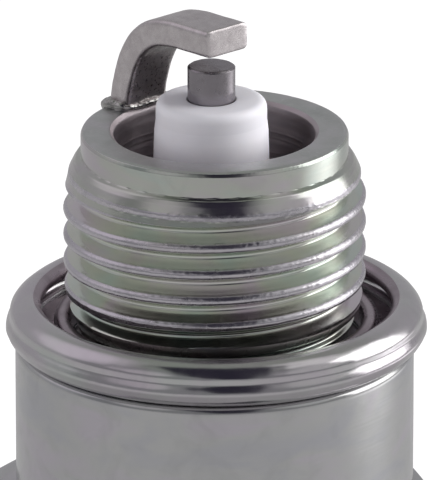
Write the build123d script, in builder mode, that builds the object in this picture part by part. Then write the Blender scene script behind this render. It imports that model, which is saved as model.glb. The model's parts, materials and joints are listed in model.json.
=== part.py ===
"""A short-reach M14 x 1.25 spark plug as separate solids, in millimetres.

+Z runs along the plug's axis towards the firing end. Z = 0 is the sealing
face of the crush gasket, on the axis. The strap's foot is at the back left
(+Y, -X) and -Y is the front.
"""

from build123d import *

import os
from math import cos, sin, tan, radians

os.makedirs("parts", exist_ok=True)

# ---------------------------------------------------------------- dimensions
# main heights along the axis
gasket_h = 2.15                    # free thickness of the folded gasket
seat_z = -gasket_h                 # shell face the gasket rests on
rim_z = seat_z + 10.15             # firing-end rim of the shell, 9.5 reach and the pilot
hex_top_z = seat_z - 7.12          # collar meets hexagon
hex_h = 8.0
hex_bottom_z = hex_top_z - hex_h
crimp_z = hex_bottom_z - 2.7       # end of the crimped lip

# M14 x 1.25 shell thread
thread_major_r = 6.93
thread_pitch = 1.25
thread_root_r = 6.16
pilot_r = 6.11
neck_r = 6.10
rim_outer_r = 5.94
bore_r = 4.60
rim_inner_r = 4.72

# collar and hexagon
collar_r = 9.14
hex_af = 19.0
hex_turn = -12.0                   # a corner of the hexagon, degrees from +X

# ground strap
strap_w = 2.50
strap_t = 1.26
strap_bearing = 132.0              # foot, degrees from +X
strap_u = (-cos(radians(strap_bearing)), -sin(radians(strap_bearing)), 0)

# the fired nose and the electrode in it sit a little off the shell's axis
nose_x = -0.145
nose_axis = Axis((nose_x, 0, 0), (0, 0, 1))
nose_plane = Plane.XZ.shift_origin((nose_x, 0, 0))

# centre electrode
tip_r = 1.09
tip_z = rim_z + 3.10
core_r = 0.55

# insulator
nose_r = 2.54
nose_z = rim_z + 1.50
barrel_r = 6.05
neck_ins_r = 4.75
ins_end_z = crimp_z - 14.0
ins_bore_r = 2.00

# M4 terminal stud and nut
stud_major_r = 1.97
stud_root_r = 1.54
stud_pitch = 0.70
stud_flange_z = ins_end_z - 0.80
stud_end_z = ins_end_z - 7.10
nut_r = 3.175
nut_top_z = stud_flange_z - 0.02
nut_end_z = nut_top_z - 8.30


# ---------------------------------------------------------------- metal shell
with BuildPart() as metal_shell:
    # plain thread blank with a right-handed 60 degree groove
    with BuildSketch(Plane.XY.offset(seat_z)):
        Circle(thread_major_r)
    extrude(amount=rim_z - seat_z)
    groove_z = rim_z - 9.905
    half_root = 0.104
    outer_r = thread_major_r + 0.07
    half_outer = half_root + (outer_r - thread_root_r) * tan(radians(30))
    with BuildLine() as thread_path:
        Helix(pitch=thread_pitch, height=7.85, radius=thread_root_r, center=(0, 0, groove_z))
    with BuildSketch(Plane.XZ):
        Polygon(
            (thread_root_r, groove_z - half_root), (outer_r, groove_z - half_outer),
            (outer_r, groove_z + half_outer), (thread_root_r, groove_z + half_root), align=None,
        )
    sweep(path=thread_path.wires()[0], is_frenet=True, mode=Mode.SUBTRACT)
    # pilot with its rounded rim and lead-in, then the run-out cone and the neck
    run_out = 0.21 / 1.15
    with BuildSketch(Plane.XZ):
        Polygon(
            (rim_outer_r, rim_z), (rim_outer_r + 0.12, rim_z - 0.07), (pilot_r, rim_z - 0.20),
            (pilot_r, rim_z - 1.20), (6.34, rim_z - 1.30), (6.62, rim_z - 1.84),
            (6.76, rim_z - 2.36), (thread_major_r + 0.20, rim_z - 3.89),
            (8, rim_z - 3.89), (8, rim_z + 1), (rim_outer_r - 0.50, rim_z + 0.30),
            align=None,
        )
    revolve(axis=Axis.Z, mode=Mode.SUBTRACT)
    with BuildSketch(Plane.XZ):
        Polygon(
            (neck_r, seat_z), (neck_r, rim_z - 9.70), (thread_major_r - 0.21, rim_z - 8.15),
            (thread_major_r + 0.10, rim_z - 7.00 + 0.10 / run_out),
            (8, rim_z - 7.00 + 0.10 / run_out), (8, seat_z), align=None,
        )
    revolve(axis=Axis.Z, mode=Mode.SUBTRACT)
    # hexagon with both ends turned off at a shallow angle
    with BuildSketch(Plane.XY.offset(hex_bottom_z)):
        RegularPolygon(radius=hex_af / 2, side_count=6, major_radius=False, rotation=hex_turn)
    extrude(amount=hex_h)
    corner = hex_af / 2 / cos(radians(30))
    tool_r = corner + 1
    top_tool_z = hex_top_z - (tool_r - collar_r) * tan(radians(16))
    low_tool_z = hex_bottom_z + (tool_r - 9.30) * tan(radians(28))
    with BuildSketch(Plane.XZ):
        with BuildLine():
            # the turned-off faces are very slightly crowned
            ThreePointArc(
                (collar_r, hex_top_z),
                ((collar_r + tool_r) / 2, (hex_top_z + top_tool_z) / 2 + 0.03),
                (tool_r, top_tool_z),
            )
            Polyline(
                (tool_r, top_tool_z), (tool_r, hex_top_z + 1), (collar_r, hex_top_z + 1),
                (collar_r, hex_top_z),
            )
        make_face()
        with BuildLine():
            ThreePointArc(
                (9.30, hex_bottom_z),
                ((9.30 + tool_r) / 2, (hex_bottom_z + low_tool_z) / 2 - 0.03),
                (tool_r, low_tool_z),
            )
            Polyline(
                (tool_r, low_tool_z), (tool_r, hex_bottom_z - 1), (9.30, hex_bottom_z - 1),
                (9.30, hex_bottom_z),
            )
        make_face()
    revolve(axis=Axis.Z, mode=Mode.SUBTRACT)
    # collar and crimped lip in one turned profile
    with BuildSketch(Plane.XZ):
        with BuildLine():
            Line((0, seat_z), (collar_r - 0.40, seat_z))
            ThreePointArc(
                (collar_r - 0.40, seat_z),
                (collar_r - 0.40 + 0.40 * sin(radians(45)), seat_z - 0.40 + 0.40 * cos(radians(45))),
                (collar_r, seat_z - 0.40),
            )
            Polyline(
                (collar_r, seat_z - 0.40), (collar_r, hex_top_z - 0.5), (8.20, hex_top_z - 1.0),
                (8.20, hex_bottom_z + 0.5), (7.60, hex_bottom_z + 0.2), (7.60, hex_bottom_z - 0.70),
            )
            ThreePointArc(
                (7.60, hex_bottom_z - 0.70), (6.95, hex_bottom_z - 2.15), (5.45, crimp_z),
            )
            Polyline(
                (5.45, crimp_z), (5.15, crimp_z + 0.10), (5.02, crimp_z + 0.40),
                (5.15, crimp_z + 0.78), (0, crimp_z + 0.78), (0, seat_z),
            )
        make_face()
    revolve(axis=Axis.Z)
    # bore from the firing end: nose bore, ledge, body bore, barrel bore, lip
    with BuildSketch(Plane.XZ):
        with BuildLine():
            Polyline(
                (0, rim_z + 1), (rim_inner_r + 0.6, rim_z + 1), (rim_inner_r, rim_z),
                (bore_r, rim_z - 0.20), (bore_r, 1.40), (4.00, 0.60), (4.00, -0.60),
                (5.00, -1.40), (5.00, -7.00), (6.15, -8.00), (6.15, crimp_z + 1.56),
            )
            ThreePointArc(
                (6.15, crimp_z + 1.56), (5.95, crimp_z + 1.06), (5.45, crimp_z + 0.84),
            )
            Polyline(
                (5.45, crimp_z + 0.84), (5.15, crimp_z + 0.78), (5.02, crimp_z + 0.40),
                (5.02, crimp_z - 1), (0, crimp_z - 1), (0, rim_z + 1),
            )
        make_face()
    revolve(axis=Axis.Z, mode=Mode.SUBTRACT)
metal_shell.part.label = "metal_shell"

# ---------------------------------------------------------------- crush gasket
# one folded strip: inner fold, flat underside, outer bead and an upper leaf doubled back over it
gasket_x = 0.08                    # it lies loose, a little to one side
with BuildPart() as crush_gasket:
    with BuildSketch(Plane.XZ.shift_origin((gasket_x, 0, 0))):
        with BuildLine():
            Line((6.86, seat_z + 0.02), (8.75, seat_z + 0.02))
            ThreePointArc((8.75, seat_z + 0.02), (9.39, -1.88), (9.65, -1.36))
            ThreePointArc((9.65, -1.36), (9.60, -0.98), (9.45, -0.70))
            Line((9.45, -0.70), (9.34, -0.66))
            Line((9.34, -0.66), (9.45, -0.61))
            ThreePointArc((9.45, -0.61), (9.09, -0.20), (8.62, 0))
            Line((8.62, 0), (8.36, 0))
            Line((8.36, 0), (8.18, -0.12))
            ThreePointArc((8.18, -0.12), (8.03, -0.32), (8.06, -0.60))
            Line((8.06, -0.60), (8.50, -0.74))
            ThreePointArc((8.50, -0.74), (9.14, -1.24), (8.56, -1.73))
            Line((8.56, -1.73), (7.62, -1.73))
            Line((7.62, -1.73), (7.45, -1.56))
            Line((7.45, -1.56), (7.45, -1.16))
            ThreePointArc((7.45, -1.16), (7.07, -0.78), (6.68, -1.16))
            Line((6.68, -1.16), (6.68, -1.92))
            ThreePointArc((6.68, -1.92), (6.73, seat_z + 0.07), (6.86, seat_z + 0.02))
        make_face()
    revolve(axis=Axis((gasket_x, 0, 0), (0, 0, 1)))
crush_gasket.part.label = "crush_gasket"

# ---------------------------------------------------------------- ground strap
strap_outer = [
    (-5.92, 0.02), (-5.83, 0.70), (-5.68, 1.40), (-5.23, 2.70), (-4.45, 3.87),
    (-3.33, 4.67), (-2.02, 5.00), (-0.60, 5.07), (0.84, 5.13),
]
strap_inner = [
    (-4.66, 0.02), (-4.61, 0.46), (-4.47, 1.07), (-4.09, 2.13), (-3.52, 2.98),
    (-2.80, 3.51), (-1.87, 3.745), (-0.578, 3.82), (0.945, 3.885),
]
strap_plane = Plane(
    origin=(0, 0, rim_z), x_dir=strap_u,
    z_dir=(-strap_u[1], strap_u[0], 0),
)
if strap_plane.y_dir.Z < 0:
    strap_plane = Plane(origin=(0, 0, rim_z), x_dir=strap_u, z_dir=(strap_u[1], -strap_u[0], 0))
with BuildPart() as ground_electrode:
    with BuildSketch(strap_plane):
        with BuildLine():
            Spline(*strap_outer)
            Line(strap_outer[-1], strap_inner[-1])
            Spline(*strap_inner)
            Line(strap_inner[0], strap_outer[0])
        make_face()
    extrude(amount=strap_w / 2, both=True)
    long_edges = [e for e in ground_electrode.edges() if e.length > 6]
    fillet(long_edges, radius=0.22)
ground_electrode.part.label = "ground_electrode"

# ---------------------------------------------------------------- weld flash
foot_s = -5.92 + strap_t / 2
flash_s = foot_s - 0.11            # more metal is squeezed out on the outside
weld_plane = Plane(
    origin=(foot_s * strap_u[0], foot_s * strap_u[1], rim_z + 0.02),
    x_dir=strap_u, z_dir=(0, 0, 1),
)
with BuildPart() as weld_flash:
    with BuildSketch(weld_plane.offset(-0.40)):
        with Locations((flash_s - foot_s, 0)):
            RectangleRounded(strap_t + 0.70, strap_w + 0.80, 0.50)
    extrude(amount=0.86)
    fillet(weld_flash.faces().sort_by(Axis.Z)[-1].edges(), radius=0.26)
    # it lies on the rim and hangs a little over the outer edge
    with BuildSketch(Plane.XY.offset(rim_z - 1)):
        Circle(pilot_r + 0.02)
    extrude(amount=1.02, mode=Mode.SUBTRACT)
    with BuildSketch(weld_plane):
        with Locations((0.035, 0)):
            Rectangle(strap_t + 0.16, strap_w + 0.06)
    extrude(amount=0.60, mode=Mode.SUBTRACT)
weld_flash.part.label = "weld_flash"

# ---------------------------------------------------------------- insulator
rib_top_z = crimp_z - 1.80
rib_pitch = 2.00
with BuildPart() as insulator:
    # body about the plug's axis
    with BuildSketch(Plane.XZ):
        with BuildLine():
            Polyline(
                (0, 1.10), (3.75, 1.10), (3.90, 0.40),
                (3.90, -0.92), (4.85, -1.68), (4.85, -7.05), (barrel_r, -8.15),
                (barrel_r, hex_bottom_z + 3.40), (neck_ins_r, hex_bottom_z + 2.50),
                (neck_ins_r, rib_top_z),
            )
            for k in range(4):
                z = rib_top_z - k * rib_pitch
                ThreePointArc((neck_ins_r, z), (neck_ins_r - 0.62, z - 0.75), (neck_ins_r, z - 1.50))
                if k < 3:
                    Line((neck_ins_r, z - 1.50), (neck_ins_r, z - rib_pitch))
            last = rib_top_z - 3 * rib_pitch - 1.50
            Polyline(
                (neck_ins_r, last), (neck_ins_r, last - 0.60), (4.35, last - 1.20),
                (4.35, ins_end_z + 0.60), (3.75, ins_end_z), (ins_bore_r, ins_end_z),
                (ins_bore_r, -2.90), (1.12, -2.02), (0, -2.02), (0, 1.10),
            )
        make_face()
    revolve(axis=Axis.Z)
    # nose, and the bore for the electrode
    with BuildSketch(nose_plane):
        with BuildLine():
            Line((0, nose_z), (nose_r - 0.85, nose_z))
            ThreePointArc(
                (nose_r - 0.85, nose_z),
                (nose_r - 0.85 + 0.85 * sin(radians(45)), nose_z - 0.85 + 0.85 * cos(radians(45))),
                (nose_r, nose_z - 0.85),
            )
            Polyline(
                (nose_r, nose_z - 0.85), (2.60, rim_z), (2.66, 6.20), (3.00, 3.20), (3.58, 1.10),
                (3.58, 0.60), (0, 0.60), (0, nose_z),
            )
        make_face()
    revolve(axis=nose_axis)
    with BuildSketch(Plane.XY.offset(-2.50)):
        with Locations((nose_x, 0)):
            Circle(1.12)
    extrude(amount=nose_z + 3.0, mode=Mode.SUBTRACT)
insulator.part.label = "insulator"

# ---------------------------------------------------------------- centre electrode
head_z = -3.90
with BuildPart() as center_electrode:
    with BuildSketch(nose_plane):
        Polygon(
            (0, tip_z), (tip_r - 0.10, tip_z), (tip_r, tip_z - 0.10), (tip_r, -2.22),
            (1.62, -2.72), (1.62, head_z + 0.30), (1.32, head_z), (core_r, head_z),
            (core_r, rim_z + 0.50), (0, rim_z + 0.80), align=None,
        )
    revolve(axis=nose_axis)
center_electrode.part.label = "center_electrode"

with BuildPart() as electrode_core:
    with BuildSketch(nose_plane):
        Polygon(
            (0, head_z), (core_r - 0.01, head_z), (core_r - 0.01, rim_z + 0.48),
            (0, rim_z + 0.76), align=None,
        )
    revolve(axis=nose_axis)
electrode_core.part.label = "electrode_core"

# ---------------------------------------------------------------- seals and resistor
seal_r = ins_bore_r - 0.02
with BuildPart() as front_glass_seal:
    with BuildSketch(Plane.XY.offset(-8.00)):
        Circle(seal_r)
    extrude(amount=head_z + 0.70 + 8.00)
    with BuildSketch(nose_plane):
        Polygon(
            (0, head_z - 0.02), (1.34, head_z - 0.02), (1.64, head_z + 0.28),
            (1.64, head_z + 1.00), (0, head_z + 1.00), align=None,
        )
    revolve(axis=nose_axis, mode=Mode.SUBTRACT)
front_glass_seal.part.label = "front_glass_seal"

with BuildPart() as resistor:
    with BuildSketch(Plane.XY.offset(-8.02)):
        Circle(seal_r)
    extrude(amount=-6.98)
    chamfer(resistor.edges().filter_by(GeomType.CIRCLE), length=0.15)
resistor.part.label = "resistor"

with BuildPart() as rear_glass_seal:
    with BuildSketch(Plane.XZ):
        Polygon(
            (0, -15.02), (seal_r, -15.02), (seal_r, -19.50), (1.38, -19.50),
            (1.38, -16.98), (0, -16.98), align=None,
        )
    revolve(axis=Axis.Z)
rear_glass_seal.part.label = "rear_glass_seal"

# ---------------------------------------------------------------- terminal stud
with BuildPart() as terminal_stud:
    with BuildSketch(Plane.XY.offset(stud_end_z)):
        Circle(stud_major_r)
    extrude(amount=stud_flange_z - stud_end_z)
    stud_groove_z = stud_end_z + 0.12
    stud_half_root = 0.058
    stud_outer_r = stud_major_r + 0.03
    stud_half_outer = stud_half_root + (stud_outer_r - stud_root_r) * tan(radians(30))
    stud_groove_h = (stud_flange_z - 0.40) - stud_groove_z
    with BuildLine() as stud_path:
        Helix(pitch=stud_pitch, height=stud_groove_h, radius=stud_root_r, center=(0, 0, stud_groove_z))
    with BuildSketch(Plane.XZ):
        Polygon(
            (stud_root_r, stud_groove_z - stud_half_root), (stud_outer_r, stud_groove_z - stud_half_outer),
            (stud_outer_r, stud_groove_z + stud_half_outer), (stud_root_r, stud_groove_z + stud_half_root),
            align=None,
        )
    sweep(path=stud_path.wires()[0], is_frenet=True, mode=Mode.SUBTRACT)
    # tip chamfer, and the undercut below the flange
    with BuildSketch(Plane.XZ):
        Polygon(
            (1.20, stud_end_z - 0.10), (2.20, stud_end_z + 0.90), (2.60, stud_end_z + 0.90),
            (2.60, stud_end_z - 0.10), align=None,
        )
        Polygon(
            (1.52, stud_flange_z), (1.52, stud_flange_z - 0.30), (2.20, stud_flange_z - 0.98),
            (2.60, stud_flange_z - 0.98), (2.60, stud_flange_z), align=None,
        )
    revolve(axis=Axis.Z, mode=Mode.SUBTRACT)
    # flange on the insulator's end, plain shank and the tip set in the glass
    with BuildSketch(Plane.XZ):
        Polygon(
            (0, -17.00), (1.10, -17.00), (1.35, -17.25), (1.35, -20.20), (1.85, -20.70),
            (1.85, ins_end_z - 0.01), (2.95, ins_end_z - 0.01), (3.05, ins_end_z - 0.11),
            (3.05, stud_flange_z + 0.10), (2.95, stud_flange_z), (0, stud_flange_z), align=None,
        )
    revolve(axis=Axis.Z)
terminal_stud.part.label = "terminal_stud"

# ---------------------------------------------------------------- terminal nut
with BuildPart() as terminal_nut:
    with BuildSketch(Plane.XZ):
        with BuildLine():
            Polyline(
                (2.25, nut_top_z), (nut_r - 0.20, nut_top_z), (nut_r, nut_top_z - 0.20),
                (nut_r, nut_top_z - 2.00), (2.62, nut_top_z - 2.55), (2.62, nut_top_z - 4.35),
                (nut_r, nut_top_z - 4.90), (nut_r, nut_end_z + 0.80),
            )
            ThreePointArc(
                (nut_r, nut_end_z + 0.80), (nut_r - 0.24, nut_end_z + 0.24), (nut_r - 0.80, nut_end_z),
            )
            Polyline(
                (nut_r - 0.80, nut_end_z), (0, nut_end_z), (0, nut_end_z + 1.30),
                (2.01, nut_end_z + 1.70), (2.01, nut_top_z - 0.24), (2.25, nut_top_z),
            )
        make_face()
    revolve(axis=Axis.Z)
terminal_nut.part.label = "terminal_nut"

# ---------------------------------------------------------------- packings inside the shell
with BuildPart() as inner_seat_packing:
    with BuildSketch(Plane.XZ):
        Polygon(
            (4.08, -0.684), (4.80, -1.260), (4.80, -1.620), (4.08, -1.044), align=None,
        )
    revolve(axis=Axis.Z)
inner_seat_packing.part.label = "inner_seat_packing"

ring_mid_r = 5.45
ring_r = 0.60
front_ring_z = hex_bottom_z + 2.20
rear_ring_z = crimp_z + 1.58
with BuildPart() as front_wire_ring:
    with BuildSketch(Plane.XZ):
        with Locations((ring_mid_r, front_ring_z)):
            Circle(ring_r)
    revolve(axis=Axis.Z)
front_wire_ring.part.label = "front_wire_ring"

with BuildPart() as talc_fill:
    with BuildSketch(Plane.XZ):
        Polygon(
            (neck_ins_r + 0.02, front_ring_z - ring_r - 0.03), (6.13, front_ring_z - ring_r - 0.03),
            (6.13, rear_ring_z + ring_r + 0.03), (neck_ins_r + 0.02, rear_ring_z + ring_r + 0.03),
            align=None,
        )
    revolve(axis=Axis.Z)
talc_fill.part.label = "talc_fill"

with BuildPart() as rear_wire_ring:
    with BuildSketch(Plane.XZ):
        with Locations((ring_mid_r, rear_ring_z)):
            Circle(ring_r)
    revolve(axis=Axis.Z)
rear_wire_ring.part.label = "rear_wire_ring"

# ---------------------------------------------------------------- export
export_step(metal_shell.part, "parts/metal_shell.step")
export_step(crush_gasket.part, "parts/crush_gasket.step")
export_step(ground_electrode.part, "parts/ground_electrode.step")
export_step(weld_flash.part, "parts/weld_flash.step")
export_step(insulator.part, "parts/insulator.step")
export_step(center_electrode.part, "parts/center_electrode.step")
export_step(electrode_core.part, "parts/electrode_core.step")
export_step(front_glass_seal.part, "parts/front_glass_seal.step")
export_step(resistor.part, "parts/resistor.step")
export_step(rear_glass_seal.part, "parts/rear_glass_seal.step")
export_step(terminal_stud.part, "parts/terminal_stud.step")
export_step(terminal_nut.part, "parts/terminal_nut.step")
export_step(inner_seat_packing.part, "parts/inner_seat_packing.step")
export_step(front_wire_ring.part, "parts/front_wire_ring.step")
export_step(talc_fill.part, "parts/talc_fill.step")
export_step(rear_wire_ring.part, "parts/rear_wire_ring.step")
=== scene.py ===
import json
import math
import random

import bpy
import bmesh
import numpy as np
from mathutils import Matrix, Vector, noise


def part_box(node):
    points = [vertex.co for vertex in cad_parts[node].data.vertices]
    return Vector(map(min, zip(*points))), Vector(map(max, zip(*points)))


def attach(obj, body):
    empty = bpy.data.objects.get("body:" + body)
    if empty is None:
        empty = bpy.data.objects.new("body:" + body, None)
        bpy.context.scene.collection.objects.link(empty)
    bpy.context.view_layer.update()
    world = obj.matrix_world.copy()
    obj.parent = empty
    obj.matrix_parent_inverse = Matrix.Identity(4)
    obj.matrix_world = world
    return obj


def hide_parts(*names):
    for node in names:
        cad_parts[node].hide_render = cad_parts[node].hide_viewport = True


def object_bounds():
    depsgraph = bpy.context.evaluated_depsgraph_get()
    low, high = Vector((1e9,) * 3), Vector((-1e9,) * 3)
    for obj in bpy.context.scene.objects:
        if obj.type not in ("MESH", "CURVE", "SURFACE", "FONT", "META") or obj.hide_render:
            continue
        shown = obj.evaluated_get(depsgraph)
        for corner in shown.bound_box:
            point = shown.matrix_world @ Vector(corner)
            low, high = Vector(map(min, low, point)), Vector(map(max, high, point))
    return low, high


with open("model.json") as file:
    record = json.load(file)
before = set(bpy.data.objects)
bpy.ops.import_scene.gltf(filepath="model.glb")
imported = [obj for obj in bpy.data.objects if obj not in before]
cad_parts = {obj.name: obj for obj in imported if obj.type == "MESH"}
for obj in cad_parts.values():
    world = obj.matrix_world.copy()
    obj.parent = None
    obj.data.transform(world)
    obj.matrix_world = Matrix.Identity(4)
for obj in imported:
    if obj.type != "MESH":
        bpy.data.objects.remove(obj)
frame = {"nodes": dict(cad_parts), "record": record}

random.seed(7)
MM = 0.001


def plain(box):
    return [[float(v) for v in corner] for corner in box]


cad_box = plain(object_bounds())


def span(node):
    """Lowest and highest corner of a CAD node, in millimetres."""
    lo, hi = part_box(node)
    return [v / MM for v in lo], [v / MM for v in hi]


# ------------------------------------------------------------------ datums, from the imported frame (mm)
RIM = span("metal_shell")[1][2]
CRIMP = span("metal_shell")[0][2]
HEX_BOTTOM = CRIMP + 2.70
HEX_TOP = HEX_BOTTOM + 8.00
GASKET_TOP = span("crush_gasket")[1][2]
SEAT = GASKET_TOP - 2.15
NOSE = span("insulator")[1][2]
INS_END = span("insulator")[0][2]
TIP = span("center_electrode")[1][2]
NUT_TOP = span("terminal_nut")[1][2]
NUT_END = span("terminal_nut")[0][2]
STUD_FLANGE = NUT_TOP + 0.02
STUD_END = span("terminal_stud")[0][2]
HEX_TURN = math.radians(-12.0)
HEX_R = 9.5
THREAD_R, ROOT_R, PITCH = 6.93, 6.16, 1.25
COLLAR_R, PILOT_R = 9.14, 6.11
NOSE_X = -0.145


# ------------------------------------------------------------------ mesh helpers
def n3(x, y, z, s=1.0):
    return noise.noise(Vector((x * s, y * s, z * s)))


def fbm(x, y, z, s=1.0, octaves=3):
    a, t = 1.0, 0.0
    for _ in range(octaves):
        t += a * n3(x, y, z, s)
        s *= 2.03
        a *= 0.5
    return t


def make(name, verts, faces, smooth_angle=32.0, merge=0.0):
    """A mesh object from millimetre points, shaded smooth with creases over an angle."""
    me = bpy.data.meshes.new(name)
    me.from_pydata([(x * MM, y * MM, z * MM) for x, y, z in verts], [], faces)
    me.update()
    bm = bmesh.new()
    bm.from_mesh(me)
    if merge:
        bmesh.ops.remove_doubles(bm, verts=bm.verts, dist=merge * MM)
        bmesh.ops.dissolve_degenerate(bm, dist=merge * MM, edges=bm.edges)
    bmesh.ops.recalc_face_normals(bm, faces=bm.faces)
    bm.to_mesh(me)
    bm.free()
    for p in me.polygons:
        p.use_smooth = True
    me.set_sharp_from_angle(angle=math.radians(smooth_angle))
    ob = bpy.data.objects.new(name, me)
    bpy.context.scene.collection.objects.link(ob)
    return ob


def rounded(points, steps=5):
    """Fillets a profile. Each point is (r, z) or (r, z, fillet radius)."""
    out = []
    n = len(points)
    for i, p in enumerate(points):
        rad = p[2] if len(p) > 2 else 0.0
        if rad <= 0 or i in (0, n - 1):
            out.append((p[0], p[1]))
            continue
        a = Vector((points[i - 1][0] - p[0], points[i - 1][1] - p[1]))
        b = Vector((points[i + 1][0] - p[0], points[i + 1][1] - p[1]))
        la, lb = a.length, b.length
        if la < 1e-6 or lb < 1e-6:
            out.append((p[0], p[1]))
            continue
        a.normalize()
        b.normalize()
        cosang = max(-1.0, min(1.0, a.dot(b)))
        half = math.acos(cosang) / 2
        if half > math.radians(89):
            out.append((p[0], p[1]))
            continue
        t = min(rad / math.tan(half), la * 0.49, lb * 0.49)
        p0 = (p[0] + a.x * t, p[1] + a.y * t)
        p1 = (p[0] + b.x * t, p[1] + b.y * t)
        for k in range(steps + 1):
            u = k / steps
            # quadratic blend through the corner
            x = (1 - u) ** 2 * p0[0] + 2 * u * (1 - u) * p[0] + u ** 2 * p1[0]
            y = (1 - u) ** 2 * p0[1] + 2 * u * (1 - u) * p[1] + u ** 2 * p1[1]
            out.append((x, y))
    return out


def resample(points, step):
    """Divides long runs of a profile so that noise can act on them."""
    out = [points[0]]
    for a, b in zip(points, points[1:]):
        d = math.hypot(b[0] - a[0], b[1] - a[1])
        k = max(1, int(math.ceil(d / step)))
        for j in range(1, k + 1):
            out.append((a[0] + (b[0] - a[0]) * j / k, a[1] + (b[1] - a[1]) * j / k))
    return out


def lathe(name, profile, n=192, x0=0.0, closed=False, shape=None, angle=32.0, axis_x=None):
    """Turns an (r, z) profile. Ends on the axis close as poles; closed joins last to first."""
    verts, rows = [], []
    for i, (r, z) in enumerate(profile):
        if axis_x is not None:
            x0 = axis_x(r, z)
        if r < 1e-6:
            rows.append([len(verts)])
            verts.append((x0, 0.0, z))
            continue
        row = []
        for k in range(n):
            t = 2 * math.pi * k / n
            rr, zz = (r, z) if shape is None else shape(i, r, z, t)
            row.append(len(verts))
            verts.append((x0 + rr * math.cos(t), rr * math.sin(t), zz))
        rows.append(row)
    faces = []
    pairs = list(zip(rows, rows[1:])) + ([(rows[-1], rows[0])] if closed else [])
    for a, b in pairs:
        for k in range(n):
            k2 = (k + 1) % n
            if len(a) == 1 and len(b) == 1:
                continue
            if len(a) == 1:
                faces.append((a[0], b[k], b[k2]))
            elif len(b) == 1:
                faces.append((a[k], b[0], a[k2]))
            else:
                faces.append((a[k], b[k], b[k2], a[k2]))
    return make(name, verts, faces, angle)


# ------------------------------------------------------------------ node helpers
def nodes_of(name):
    m = bpy.data.materials.new(name)
    m.use_nodes = True
    nt = m.node_tree
    nt.nodes.clear()
    out = nt.nodes.new("ShaderNodeOutputMaterial")
    bsdf = nt.nodes.new("ShaderNodeBsdfPrincipled")
    nt.links.new(bsdf.outputs[0], out.inputs[0])
    tc = nt.nodes.new("ShaderNodeTexCoord")
    return m, nt, bsdf, tc


def mapping(nt, tc, scale):
    mp = nt.nodes.new("ShaderNodeMapping")
    mp.inputs["Scale"].default_value = scale
    nt.links.new(tc.outputs["Object"], mp.inputs["Vector"])
    return mp.outputs[0]


def tex_noise(nt, vec, scale, detail=4.0, rough=0.55, distortion=0.0):
    t = nt.nodes.new("ShaderNodeTexNoise")
    t.inputs["Scale"].default_value = scale
    t.inputs["Detail"].default_value = detail
    t.inputs["Roughness"].default_value = rough
    t.inputs["Distortion"].default_value = distortion
    nt.links.new(vec, t.inputs["Vector"])
    return t.outputs[0]


def ramp(nt, fac, stops):
    r = nt.nodes.new("ShaderNodeValToRGB")
    el = r.color_ramp.elements
    while len(el) < len(stops):
        el.new(0.5)
    for e, (pos, col) in zip(el, stops):
        e.position = pos
        e.color = (*col, 1.0) if len(col) == 3 else col
    nt.links.new(fac, r.inputs[0])
    return r.outputs[0]


def to_range(nt, fac, lo, hi, a=0.0, b=1.0):
    r = nt.nodes.new("ShaderNodeMapRange")
    r.inputs["From Min"].default_value = a
    r.inputs["From Max"].default_value = b
    r.inputs["To Min"].default_value = lo
    r.inputs["To Max"].default_value = hi
    nt.links.new(fac, r.inputs["Value"])
    return r.outputs[0]


def mix(nt, fac, a, b, mode="MIX", amount=None):
    m = nt.nodes.new("ShaderNodeMix")
    m.data_type = "RGBA"
    m.blend_type = mode
    if amount is not None:
        m.inputs[0].default_value = amount
    if fac is not None:
        nt.links.new(fac, m.inputs[0])
    for sock, v in ((m.inputs[6], a), (m.inputs[7], b)):
        if isinstance(v, tuple):
            sock.default_value = (*v, 1.0)
        else:
            nt.links.new(v, sock)
    return m.outputs[2]


def bump(nt, bsdf, height, strength, distance):
    b = nt.nodes.new("ShaderNodeBump")
    b.inputs["Strength"].default_value = strength
    b.inputs["Distance"].default_value = distance
    nt.links.new(height, b.inputs["Height"])
    nt.links.new(b.outputs[0], bsdf.inputs["Normal"])
    return b


def add(nt, a, b, op="ADD"):
    m = nt.nodes.new("ShaderNodeMath")
    m.operation = op
    for s, v in ((m.inputs[0], a), (m.inputs[1], b)):
        if isinstance(v, (int, float)):
            s.default_value = v
        else:
            nt.links.new(v, s)
    return m.outputs[0]


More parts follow.
